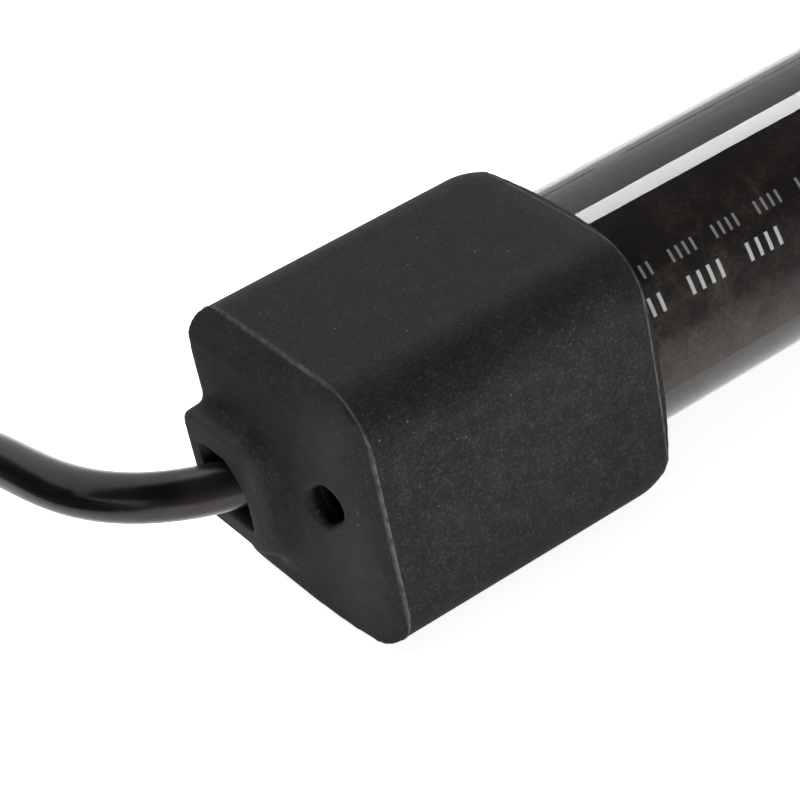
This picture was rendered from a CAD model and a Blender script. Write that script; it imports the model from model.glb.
import math

import bmesh
import bpy
import numpy as np
import openvdb
from mathutils import Matrix, Vector


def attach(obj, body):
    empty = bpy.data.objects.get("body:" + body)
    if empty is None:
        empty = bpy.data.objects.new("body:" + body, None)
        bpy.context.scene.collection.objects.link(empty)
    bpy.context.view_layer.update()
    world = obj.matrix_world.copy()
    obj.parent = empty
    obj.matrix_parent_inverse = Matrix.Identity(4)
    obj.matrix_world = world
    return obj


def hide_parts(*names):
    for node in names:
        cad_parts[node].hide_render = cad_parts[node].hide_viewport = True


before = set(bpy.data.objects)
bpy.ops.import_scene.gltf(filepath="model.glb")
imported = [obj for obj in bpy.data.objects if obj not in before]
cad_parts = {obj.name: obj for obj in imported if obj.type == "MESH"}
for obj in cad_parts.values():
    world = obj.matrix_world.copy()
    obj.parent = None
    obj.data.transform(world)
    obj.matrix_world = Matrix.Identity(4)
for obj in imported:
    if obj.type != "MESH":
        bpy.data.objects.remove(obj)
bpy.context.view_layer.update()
print("frame loaded:", len(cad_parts), "nodes")

mm = 0.001
flashX = 5.3 - 300 / 2  # outer mould line of the cord guard, mm
tipFlashX = flashX + 291.9
axisZ = 17.8  # height of the tube's axis, mm


def inFrame(point):
    # a point in mm from the mould line on the axis, as a place in the row frame
    return Vector(((point[0] + flashX) * mm, point[1] * mm, (point[2] + axisZ) * mm))


# shader maths

class Sock:
    # wraps a socket, so that arithmetic on it adds Math nodes
    def __init__(self, graph, socket):
        self.graph = graph
        self.socket = socket

    def maths(self, operation, *values):
        return self.graph.node("ShaderNodeMath", {"operation": operation}, values)

    def __add__(self, other):
        return self.maths("ADD", self, other)

    def __sub__(self, other):
        return self.maths("SUBTRACT", self, other)

    def __rsub__(self, other):
        return self.maths("SUBTRACT", other, self)

    def __mul__(self, other):
        return self.maths("MULTIPLY", self, other)

    def __pow__(self, other):
        return self.maths("POWER", self, other)

    def __abs__(self):
        return self.maths("ABSOLUTE", self)

    def __gt__(self, other):
        return self.maths("GREATER_THAN", self, other)

    def __lt__(self, other):
        return self.maths("LESS_THAN", self, other)

    def sine(self):
        return self.maths("SINE", self)

    def larger(self, other):
        return self.maths("MAXIMUM", self, other)

    def wrapped(self, step):
        return self.maths("WRAP", self, step, 0)

    def rise(self, start, end):
        # 0 at start and 1 at end, smooth between them
        return self.graph.node("ShaderNodeMapRange", {"interpolation_type": "SMOOTHSTEP"},
                               {"Value": self, "From Min": start, "From Max": end})

    def over(self, span, origin=0):
        # rise along a span of places, both in mm from the origin
        return self.rise((origin + span[0]) * mm, (origin + span[1]) * mm)

    def near(self, centre, half, soft):
        # 1 within half of centre, fading out over soft
        return abs(self - centre).rise(half + soft, half)

    def sibling(self, key):
        # another output of the same node
        return Sock(self.graph, self.socket.node.outputs[key])


class Graph:
    # a node tree, and the one way that nodes are added to it
    def __init__(self, tree):
        self.tree = tree

    def put(self, value, socket):
        if isinstance(value, Sock):
            self.tree.links.new(value.socket, socket)
        else:
            socket.default_value = value

    def node(self, kind, settings=None, values=(), output=0):
        node = self.tree.nodes.new(kind)
        for key, value in (settings or {}).items():
            setattr(node, key, value)
        pairs = values.items() if isinstance(values, dict) else enumerate(values)
        for key, value in pairs:
            self.put(value, node.inputs[key])
        return Sock(self, node.outputs[output])


class Paint(Graph):
    # one material: a Principled shader, and the nodes that feed it
    def __init__(self, name, **look):
        self.material = bpy.data.materials.new(name)
        self.material.use_nodes = True
        super().__init__(self.material.node_tree)
        self.shader = self.tree.nodes["Principled BSDF"]
        self.material.diffuse_color = (*look.get("Base_Color", (0.5, 0.5, 0.5, 1))[:3], 1)
        for key, value in look.items():
            self.feed(key, value)

    def feed(self, key, value):
        self.put(value, self.shader.inputs[key.replace("_", " ")])

    def place(self):
        return self.node("ShaderNodeTexCoord", output="Object")

    def axes(self):
        x = self.node("ShaderNodeSeparateXYZ", values=[self.place()])
        return x, x.sibling(1), x.sibling(2)

    def noise(self, scale, detail=3, roughness=0.5, stretch=(1, 1, 1), distortion=0):
        spot = self.place()
        if stretch != (1, 1, 1):
            spot = self.node("ShaderNodeMapping", values={"Vector": spot, "Scale": stretch})
        return self.node("ShaderNodeTexNoise", values={
            "Vector": spot, "Scale": scale, "Detail": detail, "Roughness": roughness,
            "Distortion": distortion})

    def specks(self, scale, radius, share):
        # round dots in some of the cells of a Voronoi, from 0.4 to 1.4 of the radius
        cell = self.node("ShaderNodeTexVoronoi", values={"Vector": self.place(), "Scale": scale})
        pick = self.node("ShaderNodeSeparateColor", values=[cell.sibling("Color")])
        size = pick.sibling(1) * radius + radius * 0.4
        return (cell < size) * (pick < share)

    def blend(self, first, second, factor):
        return self.node("ShaderNodeMix", {"data_type": "RGBA"},
                         {0: factor, 6: first, 7: second}, output=2)

    def bump(self, height, strength, depth):
        return self.node("ShaderNodeBump", values={
            "Height": height, "Strength": strength, "Distance": depth * mm})


def grey(level, warm=0.0):
    return (level * (1 + warm), level, level * (1 - warm), 1)


def dressNode(name, paint):
    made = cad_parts[name]
    made.data.materials.clear()
    made.data.materials.append(paint.material)
    for face in made.data.polygons:
        face.material_index = 0


# camera

cameraSetup = {"azimuth": 28.3523, "elevation": 34.6147, "roll": -12.2984,  # degrees
               "lens": 121.987, "sensor": 36, "distance": 309.6, "aside": 11.104,  # mm
               "above": 8.335, "clip": (0.01, 20)}  # mm, m


def makeCamera(setup):
    az, el, roll = (math.radians(setup[key]) for key in ("azimuth", "elevation", "roll"))
    ahead = Vector((math.sin(az) * math.cos(el), math.cos(az) * math.cos(el), -math.sin(el)))
    level = ahead.cross(Vector((0, 0, 1))).normalized()
    upright = level.cross(ahead)
    right = level * math.cos(roll) + upright * math.sin(roll)
    up = upright * math.cos(roll) - level * math.sin(roll)
    spot = inFrame(right * setup["aside"] + up * setup["above"] - ahead * setup["distance"])
    data = bpy.data.cameras.new("studioCamera")
    data.lens = setup["lens"]
    data.sensor_width = setup["sensor"]
    data.clip_start, data.clip_end = setup["clip"]
    camera = bpy.data.objects.new("studioCamera", data)
    bpy.context.collection.objects.link(camera)
    turn = Matrix((right, up, -ahead)).transposed().to_4x4()
    camera.matrix_world = Matrix.Translation(spot) @ turn
    bpy.context.scene.camera = camera


makeCamera(cameraSetup)
print("camera placed")

# mains cord

cord = {"diameter": 6.2, "turnGap": 0.6, "layerGap": 0.5, "innerRadius": 25,
        "tieThickness": 0.5, "coilAt": (-81.5, 25.5), "coilStart": 82,  # degrees
        "layerTurns": 2.75, "climbTurns": 0.5, "pointsPerTurn": 60,
        "leadIn": (11, 6), "leadOut": (3, 6),  # mm of straight run beside the coil's ends
        "step": 1.5, "bevelSteps": 7}
cordRadius = cord["diameter"] / 2
coilRadius = cord["innerRadius"] + (cord["diameter"] + cord["turnGap"]) * cord["layerTurns"]
leadRoute = [
    (18, 2, -3), (15, 2, -3), (12, 2.1, -3.1), (9, 2.6, -3.3), (6, 4, -3.6), (3, 5.8, -3.9),
    (0, 7.6, -4), (-2.4, 8.9, -4), (-4.7, 10, -4.1), (-7, 11.2, -4.2), (-9.5, 12.7, -4.2),
    (-13, 15.5, -4.2), (-16.1, 19.2, -4.2), (-18.6, 23.9, -4.3), (-20.4, 30.3, -4.4),
    (-21.5, 38, -4.6), (-22.8, 44.3, -5.3), (-25.3, 49.9, -6.8), (-29, 54.9, -8.9),
    (-33.7, 59, -10.9), (-39.1, 62, -12.5), (-44.9, 64.2, -13.6), (-51, 65.8, -14.1),
    (-57.1, 66.7, -14.2)]
# degrees past the coil's end, distance outside its outer turn, height over the floor
tailRoute = [
    (24, 1.2, 11), (36, 1.4, 11.8), (48, 1.3, 12.8), (60, 1.1, 13.8), (72, 0.8, 14.9),
    (84, 0.4, 15.9), (96, -0.4, 16.7), (108, -1.3, 17.2), (120, -2.2, 17.4), (132, -3, 17.4),
    (144, -3.4, 17.4), (159.2, -3.8, 17.7), (172.5, -4.8, 18.5), (186.2, -6.6, 19.7),
    (200.4, -8.9, 20.8), (215.6, -11.7, 21.7), (232, -14.8, 22), (240.8, -16, 22)]


def byCoil(degrees, radius, height):
    angle = math.radians(cord["coilStart"] + degrees)
    x, y = cord["coilAt"]
    return Vector((x + radius * math.cos(angle), y + radius * math.sin(angle), height - axisZ))


def outwards(degrees):
    # unit vector away from the coil's middle
    return byCoil(degrees, 1, axisZ) - byCoil(degrees, 0, axisZ)


def coilRoute(setup):
    # spirals in on the table, climbs in half a turn, and spirals out on top
    turnStep = setup["diameter"] + setup["turnGap"]
    layerStep = setup["diameter"] + setup["layerGap"]
    turns, climbTurns, inner = (
        setup[key] for key in ("layerTurns", "climbTurns", "innerRadius"))
    low = setup["diameter"] / 2 + setup["tieThickness"]
    points = []
    for k in range(int((2 * turns + climbTurns) * setup["pointsPerTurn"]) + 1):
        turn = k / setup["pointsPerTurn"]
        if turn < turns:
            radius, height = coilRadius - turnStep * turn, low
        elif turn < turns + climbTurns:
            climb = math.pi * (turn - turns) / climbTurns
            radius = inner - turnStep * climbTurns / math.pi * math.sin(climb)
            height = low + layerStep * (1 - math.cos(climb)) / 2
        else:
            radius, height = inner + turnStep * (turn - turns - climbTurns), low + layerStep
        points.append(byCoil(360 * turn, radius, height))
    return points


def smoothRoute(points, step):
    # a cubic B-spline near the points, sampled about every step
    raw = np.array([list(p) for p in points], float)
    raw = np.vstack([2 * raw[0] - raw[1], raw, 2 * raw[-1] - raw[-2]])
    fine = []
    for i in range(len(raw) - 3):
        a, b, c, d = raw[i:i + 4]
        count = max(2, int(np.linalg.norm(c - b) / step) + 1)
        for t in np.linspace(0, 1, count, endpoint=False):
            fine.append(((1 - t) ** 3 * a + (3 * t ** 3 - 6 * t ** 2 + 4) * b
                         + (-3 * t ** 3 + 3 * t ** 2 + 3 * t + 1) * c + t ** 3 * d) / 6)
    fine.append((raw[-3] + 4 * raw[-2] + raw[-1]) / 6)
    return fine


def makeCord(name, points, radius):
    curve = bpy.data.curves.new(name, "CURVE")
    curve.dimensions = "3D"
    curve.bevel_depth = radius * mm
    curve.bevel_resolution = cord["bevelSteps"]
    curve.use_fill_caps = True
    spline = curve.splines.new("POLY")
    spline.points.add(len(points) - 1)
    for target, point in zip(spline.points, points):
        target.co = (*inFrame(point), 1)
    spline.use_smooth = True
    made = bpy.data.objects.new(name, curve)
    bpy.context.collection.objects.link(made)
    return made


coilPoints = coilRoute(cord)
coilRun = outwards(90)  # the way that the cord runs at both ends of the coil
tailPoints = [byCoil(turned, coilRadius + out, height) for turned, out, height in tailRoute]
plugAt = tailPoints[-1]
plugRun = (plugAt - tailPoints[-2]).normalized()
cordRoute = smoothRoute(
    leadRoute + [coilPoints[0] - coilRun * gap for gap in cord["leadIn"]] + coilPoints
    + [coilPoints[-1] + coilRun * gap for gap in cord["leadOut"]] + tailPoints, cord["step"])
cordLength = sum(np.linalg.norm(b - a) for a, b in zip(cordRoute, cordRoute[1:]))
mainsCord = makeCord("mainsCord", cordRoute, cordRadius)
print("cord routed:", round(cordLength, 1), "mm")

# moulded solids


def mould(name, low, high, cell, field):
    # the zero surface of a distance field on a fine grid, in mm from the mould line
    counts = [int(math.ceil((b - a) / cell)) + 1 for a, b in zip(low, high)]
    x, y, z = (np.float32(a) + np.float32(cell) * np.arange(n, dtype=np.float32)
               for a, n in zip(low, counts))
    x, y, z = x[:, None, None], y[None, :, None], z[None, None, :]
    distance = np.broadcast_to(field(x, y, z), counts)
    band = 3 * cell
    grid = openvdb.FloatGrid(background=band)
    grid.copyFromArray(np.clip(distance, -band, band).astype(np.float32))
    points, quads = grid.convertToQuads(isovalue=0)
    places = (points * cell + np.array(low) + np.array([flashX, 0, axisZ])) * mm
    mesh = bpy.data.meshes.new(name)
    mesh.vertices.add(len(places))
    mesh.vertices.foreach_set("co", places.astype(np.float32).ravel())
    mesh.loops.add(quads.size)
    mesh.loops.foreach_set("vertex_index", quads[:, ::-1].astype(np.int32).ravel())
    mesh.polygons.add(len(quads))
    mesh.polygons.foreach_set("loop_start", np.arange(0, quads.size, 4, dtype=np.int32))
    mesh.update(calc_edges=True)
    mesh.validate()
    mesh.polygons.foreach_set("use_smooth", np.ones(len(mesh.polygons), bool))
    made = bpy.data.objects.new(name, mesh)
    bpy.context.collection.objects.link(made)
    print(name, "moulded:", len(quads), "faces")
    return made


def join(a, b, fillet):
    # union with a hollow fillet
    h = np.maximum(fillet - np.abs(a - b), 0) / fillet
    return np.minimum(a, b) - h * h * fillet / 4


def cut(a, b, edge):
    # a without b, its new edge rounded off
    h = np.maximum(edge - np.abs(a + b), 0) / edge
    return np.maximum(a, -b) + h * h * edge / 4


def both(a, b, edge):
    return cut(a, -b, edge)


def rounded(dy, dz, corner):
    # distance to a rounded rectangle, from the distances past the flat part of each side
    outside = np.hypot(np.maximum(dy, 0), np.maximum(dz, 0))
    return outside + np.minimum(np.maximum(dy, dz), 0) - corner


def roundBox(y, z, box, corner):
    # the same for the rectangle y0, y1, z0, z1 seen along X
    y0, y1, z0, z1 = box
    return rounded(np.abs(y - (y0 + y1) / 2) - ((y1 - y0) / 2 - corner),
                   np.abs(z - (z0 + z1) / 2) - ((z1 - z0) / 2 - corner), corner)


def profile(distance, stops):
    return np.interp(distance, [s[0] for s in stops], [s[1] for s in stops]).astype(np.float32)


guard = {"half": 17.8, "corner": 7.3, "length": 38.4, "lip": 0.5, "lipEdge": 0.5,
         "bulge": 0.85, "sag": 1.2, "cornerSpread": 173,  # mm2
         "drawIn": 0.8, "drawLength": 3.5, "drawFall": 7,
         "seam": 0.12, "innerSeam": 0.096, "seamBlend": 0.1,
         "wall": 0.8, "cutPast": 1, "bore": 16.02, "hollow": 13.8, "hollowEnd": 21,
         "hollowEdge": 0.3, "cell": 0.24}
# how far the end stands out, by the distance from each side
cordEnd = {"left": [(0, 0), (2.4, 0.75), (4.8, 1.3), (9.8, 2.0), (14.8, 2.4), (18, 2.6), (36, 2.7)],
           "top": [(0, 0), (2, 0.85), (5.4, 1.85), (12, 2.55), (20, 2.7), (36, 2.7)],
           "right": [(0, 0.4), (0.25, 1.5), (0.6, 1.95), (1.5, 2.2), (8, 2.7), (36, 2.9)],
           "bottom": [(0, 0.6), (0.25, 1.8), (0.6, 2.5), (1.5, 2.65), (8, 2.75), (36, 2.8)],
           "blend": 0.5, "tightBlend": 0.3,
           "drain": 2.4, "drainAt": (-7.3, 0.1), "drainRun": (0.78, -0.62), "drainLong": 1.2,
           "drainEdge": 0.7}
nozzle = {"front": -5.3, "back": 2, "box": (3.4, 17.4, -11.7, 4.1), "corner": 2.4, "edge": 0.8,
          "depth": 6, "lean": 0.3, "draft": 0.05,
          "root": 1.2, "wideRoot": 2.6, "wideFrom": 11, "wideOver": 6,
          "mouth": (5.4, 14.6, -8.6, 0.3), "throat": (0.5, 12.5, -8, 2), "throatDepth": 6.3,
          "holeCorner": 1.1, "holeRound": 9.9, "holeInset": 0.5, "holeEdge": 0.35}
tipEnd = {"side": [(0, 0), (0.6, 0.6), (2, 1.2), (5, 1.9), (11, 2.6), (18, 2.8)], "blend": 0.8,
          "drain": 2.4, "drainDepth": 4, "drainEdge": 0.5, "wall": 2.8, "slack": 0.04}
gridPast = {"side": 1, "cordEnd": 6, "rim": 2.4, "tipEnd": 3.6}  # mm of room round each guard


def guardShell(x, y, z):
    # outside of a guard from its outer mould line at 0 to its rim, without an end
    half = guard["half"]
    side = roundBox(y, z, (-half, half, -half, half), guard["corner"])
    # the rim bulges at the middle of each side and falls back at the corners
    spread = (np.hypot(y, z) ** 2 - half ** 2) / guard["cornerSpread"]
    bulge = guard["bulge"] * (1 - guard["sag"] * np.clip(spread, -0.2, 1.2))
    t = np.clip((x - guard["length"] - bulge) / guard["drawLength"] + 1, 0, 2)
    inset = guard["drawIn"] * np.where(t < 1, t * t, 1 + (t - 1) * guard["drawFall"])
    rim = both(side + inset, x - guard["length"] - guard["lip"] - bulge, guard["lipEdge"])
    line = np.hypot(side, x) - guard["seam"]
    innerLine = np.hypot(side + guard["drawIn"], x - guard["length"] - bulge) - guard["innerSeam"]
    return rim, join(line, innerLine, guard["seamBlend"])


def guardHollow(x, y, z):
    r = np.hypot(y, z)
    front = np.maximum(r - guard["hollow"], guard["wall"] - x)
    bore = np.maximum(r - guard["bore"], guard["hollowEnd"] - x)
    return np.minimum(front, bore)


def nozzleSnout(x, y, z):
    behind = np.clip(x - nozzle["front"], 0, nozzle["depth"])
    y0, y1, z0, z1 = nozzle["box"]
    box = roundBox(y, z, (y0 - nozzle["lean"] * behind, y1, z0, z1), nozzle["corner"])
    snout = both(box - behind * nozzle["draft"], nozzle["front"] - x, nozzle["edge"])
    return np.maximum(snout, x - nozzle["back"])


def nozzleTunnel(x, y, z):
    t = np.clip((x - nozzle["front"]) / nozzle["throatDepth"], 0, 1)
    sides = [a + (b - a) * t for a, b in zip(nozzle["mouth"], nozzle["throat"])]
    # the corner nearest the drain hole is well rounded, the others are tight
    roundOff = np.hypot(y - sides[1] + nozzle["holeInset"],
                        z - sides[2] - nozzle["holeInset"]) - nozzle["holeRound"]
    return np.maximum(roundBox(y, z, sides, nozzle["holeCorner"]), roundOff)


def drainHole(y, z):
    # oblong, long towards the nozzle's lower side
    dy, dz = y - cordEnd["drainAt"][0], z - cordEnd["drainAt"][1]
    runY, runZ = cordEnd["drainRun"]
    along = np.maximum(np.abs(dy * runY + dz * runZ) - cordEnd["drainLong"], 0)
    return np.hypot(along, dz * runY - dy * runZ) - cordEnd["drain"]


def cordGuardField(x, y, z):
    shell, lines = guardShell(x, y, z)
    half = guard["half"]
    height = join(profile(half + y, cordEnd["left"]), profile(half - z, cordEnd["top"]),
                  cordEnd["blend"])
    height = join(height, profile(half - y, cordEnd["right"]), cordEnd["tightBlend"])
    height = join(height, profile(half + z, cordEnd["bottom"]), cordEnd["tightBlend"])
    body = np.maximum(shell, -x - height)
    wide = np.clip((nozzle["wideFrom"] - y) / nozzle["wideOver"], 0, 1)
    root = nozzle["root"] + nozzle["wideRoot"] * wide
    solid = np.maximum(join(body, nozzleSnout(x, y, z), root), shell)
    solid = np.minimum(solid, lines)
    intoHollow = x - guard["wall"] - guard["cutPast"]
    solid = cut(solid, np.maximum(nozzleTunnel(x, y, z), intoHollow), nozzle["holeEdge"])
    solid = cut(solid, np.maximum(drainHole(y, z), intoHollow), cordEnd["drainEdge"])
    return cut(solid, guardHollow(x, y, z), guard["hollowEdge"])


def tipGuardField(x, y, z):
    # seen from its outer mould line at 0, inwards along +x
    shell, lines = guardShell(x, y, z)
    half = guard["half"]
    height = join(profile(half - np.abs(y), tipEnd["side"]),
                  profile(half - np.abs(z), tipEnd["side"]), tipEnd["blend"])
    solid = np.minimum(np.maximum(shell, -x - height), lines)
    r = np.hypot(y, z)
    solid = cut(solid, np.maximum(r - tipEnd["drain"], x - tipEnd["drainDepth"]),
                tipEnd["drainEdge"])
    bore = np.maximum(r - guard["bore"] - tipEnd["slack"], tipEnd["wall"] - x)
    return cut(solid, bore, guard["hollowEdge"])


gridSide = guard["half"] + gridPast["side"]
tipSpan = tipFlashX - flashX
cordGuard = mould("cordGuard", (-gridPast["cordEnd"], -gridSide, -gridSide),
                  (guard["length"] + gridPast["rim"], gridSide, gridSide),
                  guard["cell"], cordGuardField)
tipGuard = mould("tipGuard", (tipSpan - guard["length"] - gridPast["rim"], -gridSide, -gridSide),
                 (tipSpan + gridPast["tipEnd"], gridSide, gridSide), guard["cell"],
                 lambda x, y, z: tipGuardField(tipSpan - x, y, z))

# plug, strain relief and tie

relief = {"length": 22, "tip": 1.1, "root": 3.3, "edge": 0.5, "bore": 0.02, "boreEdge": 0.1,
          "cuts": 5, "pitch": 3.2, "firstCut": 0.6, "cutHalf": 0.65, "cutWall": 0.7,
          "cutEdge": 0.35, "grid": (8, 8, 0.6)}  # half width and height, room at the ends
plug = {"body": (25, 27, 17), "corner": 4, "edge": 1.4,
        "shoulder": 6, "narrow": 4.6, "narrowTall": 0.4, "waist": 1.3, "waistAt": 12,
        "waistLong": 5,
        "ribs": 5, "ribFrom": 7.5, "ribPitch": 2.6, "ribRadius": 0.75, "ribAbove": 0.25,
        "ribHalf": 6.5, "ribEdge": 0.3, "parting": 0.16, "partingInset": 1,
        "grid": (13.3, 9.3, 0.8), "cell": 0.3}  # the same for its grid


def reliefField(x, y, z):
    along = plugAt.y - y
    r = np.hypot(x - plugAt.x, z - plugAt.z)
    t = np.clip(along / relief["length"], 0, 1)
    cone = both(r - (cordRadius + relief["tip"] + (relief["root"] - relief["tip"]) * t),
                np.maximum(-along, along - relief["length"]), relief["edge"])
    for k in range(relief["cuts"]):
        middle = relief["pitch"] * (k + relief["firstCut"]) + relief["cutHalf"]
        slot = np.maximum(np.abs(along - middle) - relief["cutHalf"],
                          cordRadius + relief["cutWall"] - r)
        cone = cut(cone, slot, relief["cutEdge"])
    return cut(cone, r - cordRadius - relief["bore"], relief["boreEdge"])


def plugBodyField(x, y, z):
    along = plugAt.y - relief["length"] - y
    aside, above = np.abs(x - plugAt.x), np.abs(z - plugAt.z)
    wide, long, tall = plug["body"]
    t = np.clip(along / plug["shoulder"], 0, 1)
    narrow = plug["narrow"] * (1 - t) ** 2
    waist = plug["waist"] * np.exp(-((along - plug["waistAt"]) / plug["waistLong"]) ** 2)
    top = tall / 2 - narrow * plug["narrowTall"]
    side = rounded(aside - (wide / 2 - narrow - waist - plug["corner"]),
                   above - (top - plug["corner"]), plug["corner"])
    solid = both(side, np.maximum(-along, along - long), plug["edge"])
    for k in range(plug["ribs"]):
        rib = np.hypot(along - plug["ribFrom"] - plug["ribPitch"] * k,
                       above - top - plug["ribAbove"]) - plug["ribRadius"]
        solid = cut(solid, np.maximum(rib, aside - plug["ribHalf"]), plug["ribEdge"])
    parting = np.hypot(above, side) - plug["parting"]
    inset = plug["partingInset"]
    return np.minimum(solid, np.maximum(parting, np.maximum(inset - along, along - long + inset)))


def plugGrid(setup, start, end):
    # the box about the cord's end that lies between start and end along -Y
    halfX, halfZ, room = setup["grid"]
    return ((plugAt.x - halfX, plugAt.y - end - room, plugAt.z - halfZ),
            (plugAt.x + halfX, plugAt.y - start + room, plugAt.z + halfZ))


plugStart = relief["length"]
plugEnd = plugStart + plug["body"][1]
plugRelief = mould("plugRelief", *plugGrid(relief, 0, plugStart), plug["cell"], reliefField)
plugBody = mould("plugBody", *plugGrid(plug, plugStart, plugEnd), plug["cell"], plugBodyField)


def asObject(name, mesh):
    data = bpy.data.meshes.new(name)
    mesh.to_mesh(data)
    mesh.free()
    made = bpy.data.objects.new(name, data)
    bpy.context.collection.objects.link(made)
    return made


def stitch(mesh, first, second):
    # a band of faces between two loops with as many vertices each
    for k in range(len(first)):
        j = (k + 1) % len(first)
        mesh.faces.new((first[k], first[j], second[j], second[k]))


blade = {"pitch": 12.7, "length": 17, "thickness": 1.5, "half": 3.15, "tipHalf": 2.2,
         "chamfer": 1.4, "holeAt": 13, "holeRadius": 1.5, "holeSides": 24,
         "bevel": 0.2, "bevelSteps": 2}


def makeBlades():
    # two flat blades with chamfered tips and a hole each
    mesh = bmesh.new()
    start = plugAt.y - relief["length"] - plug["body"][1]
    half, tipHalf, length = blade["half"], blade["tipHalf"], blade["length"]
    neck = length - blade["chamfer"]
    outline = [(0, -half), (neck, -half), (length, -tipHalf), (length, tipHalf), (neck, half),
               (0, half)]
    angles = (2 * math.pi * k / blade["holeSides"] for k in range(blade["holeSides"]))
    hole = [(blade["holeAt"] + blade["holeRadius"] * math.cos(a), blade["holeRadius"] * math.sin(a))
            for a in angles]
    for side in (-1, 1):
        centreX = plugAt.x + side * blade["pitch"] / 2
        rings = []
        for face in (-1, 1):
            faceX = centreX + face * blade["thickness"] / 2
            loops = [[mesh.verts.new(inFrame((faceX, start - u, plugAt.z + v))) for u, v in shape]
                     for shape in (outline, hole)]
            edges = [mesh.edges.new((loop[k], loop[(k + 1) % len(loop)]))
                     for loop in loops for k in range(len(loop))]
            bmesh.ops.triangle_fill(mesh, edges=edges, use_beauty=True)
            rings.append(loops)
        for near, far in zip(*rings):
            stitch(mesh, near, far)
    bmesh.ops.recalc_face_normals(mesh, faces=mesh.faces)
    made = asObject("plugBlades", mesh)
    edge = made.modifiers.new("edge", "BEVEL")
    edge.width, edge.segments = blade["bevel"] * mm, blade["bevelSteps"]
    edge.limit_method = "ANGLE"
    return made


tie = {"width": 6, "thickness": cord["tieThickness"], "bevel": 0.15, "gap": 0.3,
       "at": 143, "start": 150, "sweep": 410, "lapFrom": 335, "lapOver": 20,  # degrees
       "steps": 90,
       # radius and height of the strands that it lies on
       "strands": [(41, 3.6), (27.4, 3.6), (26, 10.3), (39.6, 10.3), (40.4, 17.4)]}


def tiePath():
    # its middle line, as distances from the coil's middle and from the floor
    path = []
    for k in range(tie["steps"] + 1):
        turned = tie["sweep"] * k / tie["steps"]
        angle = math.radians(tie["start"] - turned)
        lift = tie["thickness"] * min(max((turned - tie["lapFrom"]) / tie["lapOver"], 0), 1)
        out = cordRadius + tie["gap"] + tie["thickness"] / 2 + lift
        r, z = max(tie["strands"],
                   key=lambda strand: strand[0] * math.cos(angle) + strand[1] * math.sin(angle))
        path.append(Vector((r + out * math.cos(angle),
                            max(z + out * math.sin(angle), tie["thickness"] / 2))))
    return path


def makeTie():
    # a hook-and-loop strap pulled tight round the coil, its free end lapped over its start
    path = tiePath()
    mesh = bmesh.new()
    half, t = tie["width"] / 2, tie["thickness"] / 2
    flat = half - tie["bevel"]
    section = ((-half, 0), (-flat, t), (flat, t), (half, 0), (flat, -t), (-flat, -t))
    across = outwards(tie["at"] + 90)
    rings = []
    for k, point in enumerate(path):
        run = (path[min(k + 1, len(path) - 1)] - path[max(k - 1, 0)]).normalized()
        outward = Vector((-run.y, run.x))
        ring = []
        for aside, above in section:
            place = point + outward * above
            ring.append(mesh.verts.new(inFrame(byCoil(tie["at"], place.x, place.y)
                                               + across * aside)))
        rings.append(ring)
    for first, second in zip(rings, rings[1:]):
        stitch(mesh, first, second)
    mesh.faces.new(rings[0])
    mesh.faces.new(rings[-1][::-1])
    bmesh.ops.recalc_face_normals(mesh, faces=mesh.faces)
    return asObject("cordTie", mesh)


def turnToCord(made):
    # the plug is built towards -Y and then turned about the cord's end
    pivot = Matrix.Translation(inFrame(plugAt))
    turn = Matrix.Rotation(math.atan2(plugRun.y, plugRun.x) + math.pi / 2, 4, "Z")
    made.data.transform(pivot @ turn @ pivot.inverted())


plugBlades = makeBlades()
for plugPiece in (plugRelief, plugBody, plugBlades):
    turnToCord(plugPiece)
cordTie = makeTie()
print("plug and tie made")

# paints


# A noise is its scale, detail and roughness, specks are their scale, size and share, and a coat is
# a tone with its share. rise(a, b) on a noise sets its contrast.

rubberLook = {
    "roughness": 0.75, "gloss": 0.12, "roughSpread": 0.15, "leastRough": 0.65,
    "cloud": (70, 4, 0.6), "mottle": (380, 5, 0.75), "grain": (3000, 3, 0.75), "wear": (900, 3),
    "dark": (0.0085, 0.0083, 0.0096, 1), "light": (0.0118, 0.0113, 0.0129, 1),
    "bloom": (0.043, 0.044, 0.05, 1), "bloomX": (0, -2), "bloomY": (-2, -13), "bloomZ": (2, -12),
    "bloomAside": 0.6, "bloomBelow": 0.4, "bloomShare": 0.8, "noseX": (-3.4, -5.2),
    "noseShare": 0.5,
    "blotches": ((0.07, 0.066, 0.069, 1), 0.08), "grains": ((0.11, 0.104, 0.104, 1), 0.26),
    "thinDust": ((0.09, 0.083, 0.079, 1), 0.28), "dust": ((0.15, 0.137, 0.125, 1), 0.5),
    "thinSpecks": (1500, 0.2, 0.5), "specks": (760, 0.09, 0.16),
    "line": (0.092, 0.084, 0.077, 1), "lineHalf": 0.07, "lineSoft": 0.15,
    "lineWear": 0.5, "lineLeast": 0.3, "recessTone": 0.002, "recessShare": 0.9, "recessSoft": 1.1,
    "dustHeight": 0.6, "relief": 0.3, "reliefDepth": 0.05}


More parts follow.
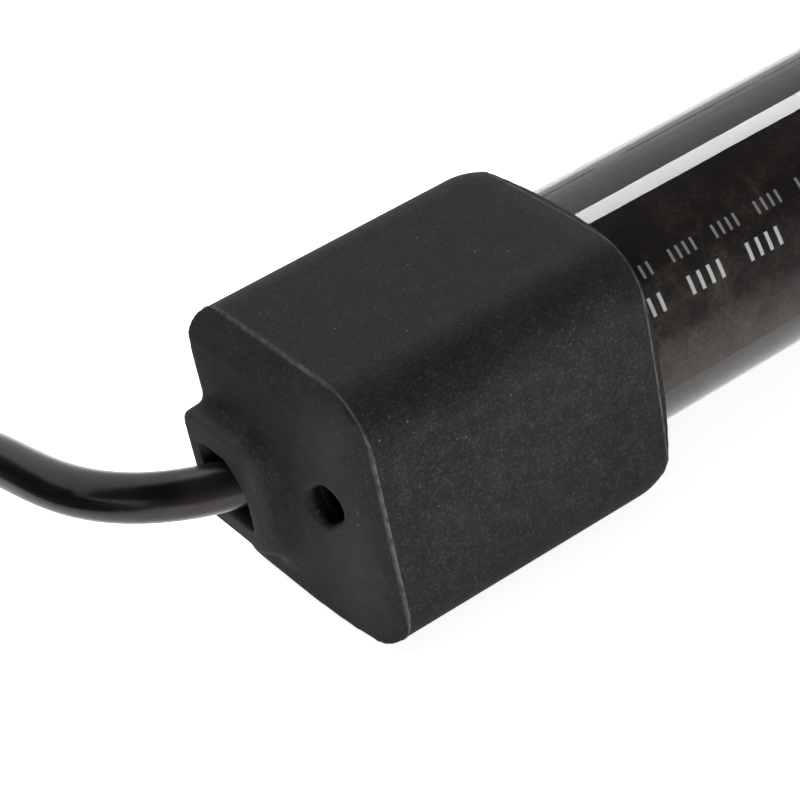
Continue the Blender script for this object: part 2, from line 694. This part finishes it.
def guardRubberPaint(name, moulds, recesses=()):
    look = rubberLook
    paint = Paint(name, Roughness=look["roughness"], Specular_IOR_Level=look["gloss"])
    cloud, mottle, grain, wear = (
        paint.noise(*look[key]) for key in ("cloud", "mottle", "grain", "wear"))
    x, y, z = paint.axes()
    colour = paint.blend(look["dark"], look["light"], cloud.rise(0.3, 0.7))
    # a pale bloom on the end face, more so towards -Y and the floor, and on the nozzle's front
    face = x.over(look["bloomX"], flashX) * (y.over(look["bloomY"]) * look["bloomAside"]
                                             + z.over(look["bloomZ"], axisZ) * look["bloomBelow"])
    bloom = (face * cloud.rise(0.1, 0.8) * look["bloomShare"]
             + x.over(look["noseX"], flashX) * look["noseShare"])
    colour = paint.blend(colour, look["bloom"], bloom)
    # dust: a blotchy film, fine grains, and a few round specks
    dust = paint.specks(*look["specks"])
    covers = {"blotches": mottle.rise(0.38, 0.72), "grains": grain.rise(0.47, 0.78),
              "thinDust": paint.specks(*look["thinSpecks"]) * mottle.rise(0.35, 0.6),
              "dust": dust}
    for key, cover in covers.items():
        tone, share = look[key]
        colour = paint.blend(colour, tone, cover * share)
    worn = wear.rise(0.35, 0.6) * look["lineWear"] + look["lineLeast"]
    for place in moulds:
        line = x.near(place * mm, look["lineHalf"] * mm, look["lineSoft"] * mm)
        colour = paint.blend(colour, look["line"], line * worn)
    for start, end, centreY, centreZ, radius in recesses:
        # the rubber is darker inside the openings, where no dust settles
        spread = (y - centreY * mm) ** 2 + (z - centreZ * mm) ** 2
        area = (radius * mm) ** 2
        inside = x.over((start, end)) * spread.rise(area * look["recessSoft"], area)
        colour = paint.blend(colour, grey(look["recessTone"]), inside * look["recessShare"])
    paint.feed("Base_Color", colour)
    paint.feed("Roughness", cloud * look["roughSpread"] + look["leastRough"])
    height = grain + dust * look["dustHeight"]
    paint.feed("Normal", paint.bump(height, look["relief"], look["reliefDepth"]))
    return paint


jacketLook = {"gloss": 0.5, "tint": (1, 0.93, 0.92, 1), "roughSpread": 0.12,
              "cloud": (120, 3), "wave": (260, 2),
              "dark": (0.005, 0.12), "light": (0.01, 0.14),  # level and warmth
              "dust": ((0.07, 0.06, 0.055, 1), 0.5), "specks": (650, 0.07, 0.2),
              "relief": 0.12, "reliefDepth": 0.25}


def cordJacketPaint(name, roughness):
    look = jacketLook
    paint = Paint(name, Roughness=roughness, Specular_IOR_Level=look["gloss"],
                  Specular_Tint=look["tint"])
    cloud, wave = paint.noise(*look["cloud"]), paint.noise(*look["wave"])
    colour = paint.blend(grey(*look["dark"]), grey(*look["light"]), cloud.rise(0.35, 0.7))
    tone, share = look["dust"]
    colour = paint.blend(colour, tone, paint.specks(*look["specks"]) * share)
    paint.feed("Base_Color", colour)
    paint.feed("Roughness", cloud * look["roughSpread"] + (roughness - look["roughSpread"] / 2))
    paint.feed("Normal", paint.bump(wave, look["relief"], look["reliefDepth"]))
    return paint


def turnAboutTube(y, z):
    # angle about the tube's axis, from its top towards -Y
    return y.maths("ARCTAN2", y * -1, z - axisZ * mm)


filmLook = {"roughness": 0.6, "gloss": 0.05, "roughSpread": 0.2,
            "cloud": (170, 6, 0.75), "cloudTwist": 0.4, "fleck": (1700, 4, 0.8),
            "lowZ": (12, -2), "lowSmoke": 0.18, "lessSmoke": 0.06, "fleckShare": 0.8,
            "dark": (0.008, 0.0065, 0.006, 1), "smoke": (0.055, 0.046, 0.041, 1)}
scaleMarks = {"rows": [(48, 1.6, 1.1, 0.2), (64, 2.2, 1.5, 0.45)],  # degrees, mm, mm, tone
              "span": (flashX + 41, flashX + 125), "radius": 14.5, "share": 0.9, "warm": 0.01,
              "soft": 0.05, "softTurn": 0.004,  # mm, radians
              "strokeHalf": (0.2, 0.13), "groupPitch": 6, "groupHalf": 2.1}  # in stroke pitches


def scaleStrokes(x, turn, degrees, tall, pitch):
    # one row of strokes in groups of four
    first, last = scaleMarks["span"]
    spanned = x.near((first + last) / 2 * mm, (last - first) / 2 * mm, scaleMarks["soft"] * mm)
    band = turn.near(math.radians(degrees), tall / 2 / scaleMarks["radius"],
                     scaleMarks["softTurn"])
    thin, thick = (width * pitch * mm for width in scaleMarks["strokeHalf"])
    stroke = abs(x.wrapped(pitch * mm) - pitch / 2 * mm).rise(thin, thick)
    groups = scaleMarks["groupPitch"] * pitch * mm
    group = abs(x.wrapped(groups) - groups / 2) < scaleMarks["groupHalf"] * pitch * mm
    return band * stroke * group * spanned


def filmPaint():
    # smoky black print, thinner and greyer towards the tube's underside, with plain scale marks
    look = filmLook
    paint = Paint("blackFilm", Roughness=look["roughness"], Specular_IOR_Level=look["gloss"])
    cloud = paint.noise(*look["cloud"], distortion=look["cloudTwist"])
    fleck = paint.noise(*look["fleck"]).rise(0.35, 0.65)
    x, y, z = paint.axes()
    smoke = (cloud + z.over(look["lowZ"], axisZ) * look["lowSmoke"] - look["lessSmoke"]).rise(
        0.4, 0.78) * (fleck * look["fleckShare"] + (1 - look["fleckShare"]))
    colour = paint.blend(look["dark"], look["smoke"], smoke)
    for degrees, tall, pitch, tone in scaleMarks["rows"]:
        strokes = scaleStrokes(x, turnAboutTube(y, z), degrees, tall, pitch)
        colour = paint.blend(colour, grey(tone, scaleMarks["warm"]), strokes * scaleMarks["share"])
    paint.feed("Base_Color", colour)
    paint.feed("Roughness", cloud * look["roughSpread"]
               + (look["roughness"] - look["roughSpread"] / 2))
    return paint


quartzLook = {"tone": (0.985, 0.99, 0.985, 1), "roughness": 0.02, "index": 1.46, "midWall": 15.3,
              "film": (flashX + 36, flashX + 254), "filmSoft": 0.1,
              "hairAt": -13, "hairHalf": 0.005, "hairSoft": 0.004, "hairShare": 0.8,
              "smearRough": 0.02, "leastRough": 0.015, "wave": 0.03, "waveDepth": 0.2}


def quartzPaint():
    look = quartzLook
    paint = Paint("fusedQuartz", Base_Color=look["tone"], Roughness=look["roughness"],
                  IOR=look["index"], Transmission_Weight=1)
    x, y, z = paint.axes()
    outer = (y * y + (z - axisZ * mm) ** 2) ** 0.5 > look["midWall"] * mm
    start, end = look["film"]
    soft = look["filmSoft"]
    behindFilm = x.over((start - soft, start)) * (1 - x.over((end, end + soft)))
    # dull hairlines along the glass, broken at random
    broken = paint.noise(45, 2, stretch=(1, 0, 0)).rise(0.44, 0.47)
    hairline = turnAboutTube(y, z).near(math.radians(look["hairAt"]), look["hairHalf"],
                                        look["hairSoft"]) * broken * look["hairShare"]
    paint.feed("Alpha", 1 - behindFilm * (1 - outer) - hairline * outer)
    smear = paint.noise(180, 3, 0.6, stretch=(0.25, 1, 1)).rise(0.5, 0.8)
    paint.feed("Roughness", smear * look["smearRough"] + look["leastRough"])
    paint.feed("Normal", paint.bump(paint.noise(35, 2), look["wave"], look["waveDepth"]))
    return paint


plainLook = {"grainRatio": 9, "roughSpread": 0.14, "relief": 0.3, "reliefDepth": 0.04}


def plainPaint(name, dark, light, roughness, scale, **extra):
    look = plainLook
    paint = Paint(name, Roughness=roughness, **extra)
    cloud = paint.noise(scale, 4, 0.6)
    grain = paint.noise(scale * look["grainRatio"], 3, 0.6)
    paint.feed("Base_Color", paint.blend((*dark, 1), (*light, 1), cloud.rise(0.3, 0.7)))
    paint.feed("Roughness", cloud * look["roughSpread"] + (roughness - look["roughSpread"] / 2))
    paint.feed("Normal", paint.bump(grain, look["relief"], look["reliefDepth"]))
    return paint


brushedLook = {"streak": (1400, 3, 0.6), "stain": (240, 3), "roughSpread": 0.2, "relief": 0.2,
               "reliefDepth": 0.02}


def brushedPaint(name, dark, light, roughness, stretch):
    look = brushedLook
    paint = Paint(name, Roughness=roughness, Metallic=1)
    streak = paint.noise(*look["streak"], stretch=stretch)
    stain = paint.noise(*look["stain"]).rise(0.35, 0.7)
    paint.feed("Base_Color", paint.blend((*dark, 1), (*light, 1), stain))
    paint.feed("Roughness", streak * look["roughSpread"] + (roughness - look["roughSpread"] / 2))
    paint.feed("Normal", paint.bump(streak, look["relief"], look["reliefDepth"]))
    return paint


tieLook = {"roughness": 0.9, "weave": 1400, "fluff": (1800, 3), "fluffShare": 0.4,
           "dark": 0.012, "light": 0.03, "fluffHeight": 0.6, "relief": 0.6, "reliefDepth": 0.15}


def tiePaint():
    look = tieLook
    paint = Paint("tieFabric", Roughness=look["roughness"])
    x, y, z = paint.axes()
    warp, weft = x * look["weave"], (y + z) * look["weave"]
    thread = abs((warp + weft).sine()) * 0.5 + abs((warp - weft).sine()) * 0.5
    fluff = paint.noise(*look["fluff"])
    mix = thread * (1 - look["fluffShare"]) + fluff * look["fluffShare"]
    paint.feed("Base_Color", paint.blend(grey(look["dark"]), grey(look["light"]), mix))
    paint.feed("Normal", paint.bump(thread + fluff * look["fluffHeight"], look["relief"],
                                    look["reliefDepth"]))
    return paint


noseX = flashX + nozzle["front"]
drainY, drainZ = cordEnd["drainAt"]
# from and to along X, the middle in Y and Z, and the radius, in mm
tunnelRecess = (noseX + 0.5, noseX + 2.2, 9.6, axisZ - 4.2, 5.6)
drainRecess = (flashX - 1.7, flashX - 0.9, drainY, axisZ + drainZ, 3.7)
rubber = guardRubberPaint("guardRubber", [flashX, flashX + guard["length"]],
                          [tunnelRecess, drainRecess])
tipRubber = guardRubberPaint("tipGuardRubber", [tipFlashX, tipFlashX - guard["length"]])
jacket = cordJacketPaint("cordJacket", 0.22)
plugPvc = cordJacketPaint("plugPvc", 0.42)
brass = brushedPaint("bladeBrass", (0.62, 0.46, 0.2), (0.78, 0.62, 0.33), 0.3, (1, 0.1, 1))
for made, paint in ((cordGuard, rubber), (tipGuard, tipRubber), (mainsCord, jacket),
                    (plugRelief, plugPvc), (plugBody, plugPvc), (plugBlades, brass),
                    (cordTie, tiePaint())):
    made.data.materials.append(paint.material)

steel = brushedPaint("platedSteel", (0.5, 0.5, 0.51), (0.68, 0.68, 0.69), 0.3, (0.2, 1, 1))
alloy = brushedPaint("bimetalAlloy", (0.36, 0.33, 0.3), (0.52, 0.48, 0.44), 0.4, (0.2, 1, 1))
silicone = plainPaint("creamSilicone", (0.66, 0.62, 0.54), (0.78, 0.75, 0.68), 0.5, 160,
                      Subsurface_Weight=0.2, Subsurface_Scale=0.003)
mica = plainPaint("micaBoard", (0.55, 0.46, 0.3), (0.78, 0.7, 0.52), 0.55, 420)
ceramic = plainPaint("steatite", (0.8, 0.77, 0.7), (0.9, 0.88, 0.83), 0.6, 300)
sealRubber = plainPaint("sealRubber", (0.015, 0.015, 0.016), (0.03, 0.03, 0.031), 0.55, 300)
lampGlass = plainPaint("lampGlass", (0.95, 0.5, 0.28), (0.98, 0.62, 0.4), 0.1, 500, IOR=1.45,
                       Transmission_Weight=0.7)
brownWire = plainPaint("brownSleeving", (0.16, 0.07, 0.035), (0.24, 0.11, 0.06), 0.35, 600)
blueWire = plainPaint("blueSleeving", (0.03, 0.09, 0.32), (0.06, 0.15, 0.45), 0.35, 600)
springBrass = brushedPaint("springBrass", (0.6, 0.45, 0.2), (0.76, 0.61, 0.33), 0.28, (0.2, 1, 1))
nodePaints = {
    "quartz_tube": quartzPaint(), "label_sleeve": filmPaint(), "end_plug": silicone,
    "seal_rings": sealRubber, "cord_gland": plugPvc, "cord_inner": jacket, "plug_disc": mica,
    "thermostat_frame": ceramic, "arm_pivot": steel, "contact_arm": springBrass,
    "moving_contact": steel, "fixed_contact": steel, "bimetal_strip": alloy, "snap_magnet": steel,
    "adjusting_screw": springBrass, "indicator_lamp": lampGlass, "thermal_fuse": steel,
    "live_wire": brownWire, "neutral_wire": blueWire, "core_disc": mica, "ceramic_core": ceramic,
    "heating_coil": alloy, "return_rod": steel, "end_disc": mica, "tip_pad": silicone}
for nodeName, nodePaint in nodePaints.items():
    dressNode(nodeName, nodePaint)
print("paints mixed")

# floor, background and lamps

studio = {"ambient": 0.18, "floorTone": 0.86, "floorGlow": 0.84, "floorHalf": 3, "floorZ": -0.0002,
          # flags over, before and under the object's front, in m
          "left": -2, "right": 3, "front": -1, "back": 0.25, "top": 0.9, "foot": 0.001,
          "footBack": -0.02, "fadeZ": (0.75, 0.02), "fadeY": (-0.1, -0.02), "glowNear": 0.55,
          "glowLeast": 0.18, "flagWarm": 0.04,
          "lamps": [  # place mm, aimed at mm, size across and along X m, watts, what shows it
              ("stripSoftbox", (130, 170, 405), (-10, 0, 18), 0.12, 0.38, 1.8, "gloss"),
              ("backFill", (-130, 420, 420), (-120, 0, 20), 0.5, 0.4, 4.2, "matt"),
              ("frontFill", (-370, -460, 60), (-120, 0, 15), 0.3, 0.5, 1.8, "matt"),
              ("tableBounce", (-170, -100, 1), (-170, -100, 100), 0.15, 0.6, 1.0, "matt")]}


def stageCard(name, corners, paint):
    mesh = bpy.data.meshes.new(name)
    mesh.from_pydata(corners, [], [(0, 1, 2, 3)])
    mesh.materials.append(paint.material)
    card = bpy.data.objects.new(name, mesh)
    bpy.context.collection.objects.link(card)
    return card


def makeAir(setup):
    # white to the camera, in gloss and through glass, and dim as a light
    world = bpy.data.worlds.new("studioAir")
    bpy.context.scene.world = world
    world.use_nodes = True
    air = Graph(world.node_tree)
    ray = air.node("ShaderNodeLightPath", output="Is Camera Ray")
    seen = ray.larger(ray.sibling("Is Glossy Ray")).larger(ray.sibling("Is Transmission Ray"))
    backdrop = world.node_tree.nodes["Background"]
    air.put((1, 1, 1, 1), backdrop.inputs["Color"])
    air.put(seen * (1 - setup["ambient"]) + setup["ambient"], backdrop.inputs["Strength"])


def makeFloor(setup):
    paint = Paint("studioWhite", Base_Color=grey(setup["floorTone"]), Roughness=0.9,
                  Emission_Color=(1, 1, 1, 1), Specular_IOR_Level=0.0)
    ray = paint.node("ShaderNodeLightPath", output="Is Camera Ray")
    shown = ray.larger(ray.sibling("Is Glossy Ray"))
    paint.feed("Emission_Strength", shown * setup["floorGlow"])
    half, z = setup["floorHalf"], setup["floorZ"]
    stageCard("studioFloor", [(-half, -half, z), (half, -half, z), (half, half, z),
                              (-half, half, z)], paint)


def makeFlags(setup):
    # cards seen in the object's gloss alone, black above and glowing faintly near the floor
    paint = Paint("flagBlack", Base_Color=grey(0), Roughness=1, Specular_IOR_Level=0,
                  Emission_Strength=1)
    x, y, z = paint.axes()
    glow = z.rise(*setup["fadeZ"]) * (y.rise(*setup["fadeY"]) * setup["glowNear"]
                                      + setup["glowLeast"])
    paint.feed("Emission_Color", paint.blend(grey(0), grey(1, setup["flagWarm"]), glow))
    left, right, front, top, foot = (
        setup[key] for key in ("left", "right", "front", "top", "foot"))
    for name, (nearY, nearZ), (farY, farZ) in (
            ("topFlag", (front, top), (setup["back"], top)),
            ("frontFlag", (front, foot), (front, top)),
            ("footFlag", (front, foot), (setup["footBack"], foot))):
        flag = stageCard(name, [(left, nearY, nearZ), (right, nearY, nearZ), (right, farY, farZ),
                                (left, farY, farZ)], paint)
        flag.visible_camera = flag.visible_diffuse = flag.visible_shadow = False
        flag.visible_transmission = False


def facing(place, target):
    # a lamp's matrix at a place, aimed at its target, with its first side as near X as may be
    back = (place - target).normalized()
    side = Vector((1, 0, 0))
    if abs(back.dot(side)) > 0.6:  # aimed along X, so its side lies level instead
        side = Vector((0, 0, 1)).cross(back)
    side = (side - back * side.dot(back)).normalized()
    turn = Matrix((side, back.cross(side), back)).transposed().to_4x4()
    return Matrix.Translation(place) @ turn


def makeLamps(setup):
    for name, spot, aim, across, along, watts, role in setup["lamps"]:
        data = bpy.data.lights.new(name, "AREA")
        data.shape, data.size, data.size_y, data.energy = "RECTANGLE", along, across, watts
        lamp = bpy.data.objects.new(name, data)
        bpy.context.collection.objects.link(lamp)
        lamp.matrix_world = facing(Vector(spot) * mm, Vector(aim) * mm)
        lamp.visible_camera = False
        lamp.visible_glossy = role == "gloss"
        lamp.visible_diffuse = role == "matt"


makeAir(studio)
makeFloor(studio)
makeFlags(studio)
makeLamps(studio)
bpy.context.scene.view_settings.view_transform = "Standard"
print("studio lit")

# who rides on what

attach(cordGuard, "heater")
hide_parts("cord_guard")
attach(tipGuard, "tip_guard")
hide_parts("tip_guard")
for piece, node, slotName in ((plugRelief, "plug_relief", "cord_jacket"),
                              (plugBody, "plug_body", "cord_jacket"),
                              (plugBlades, "plug_pins", "spring_brass"),
                              (cordTie, "coil_tie", "seal_rubber")):
    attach(piece, "heater")
    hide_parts(node)
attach(mainsCord, "heater")
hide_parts("cord_run", "cord_coil", "cord_tail")
inFrame(leadRoute[0])

print("pieces riding")
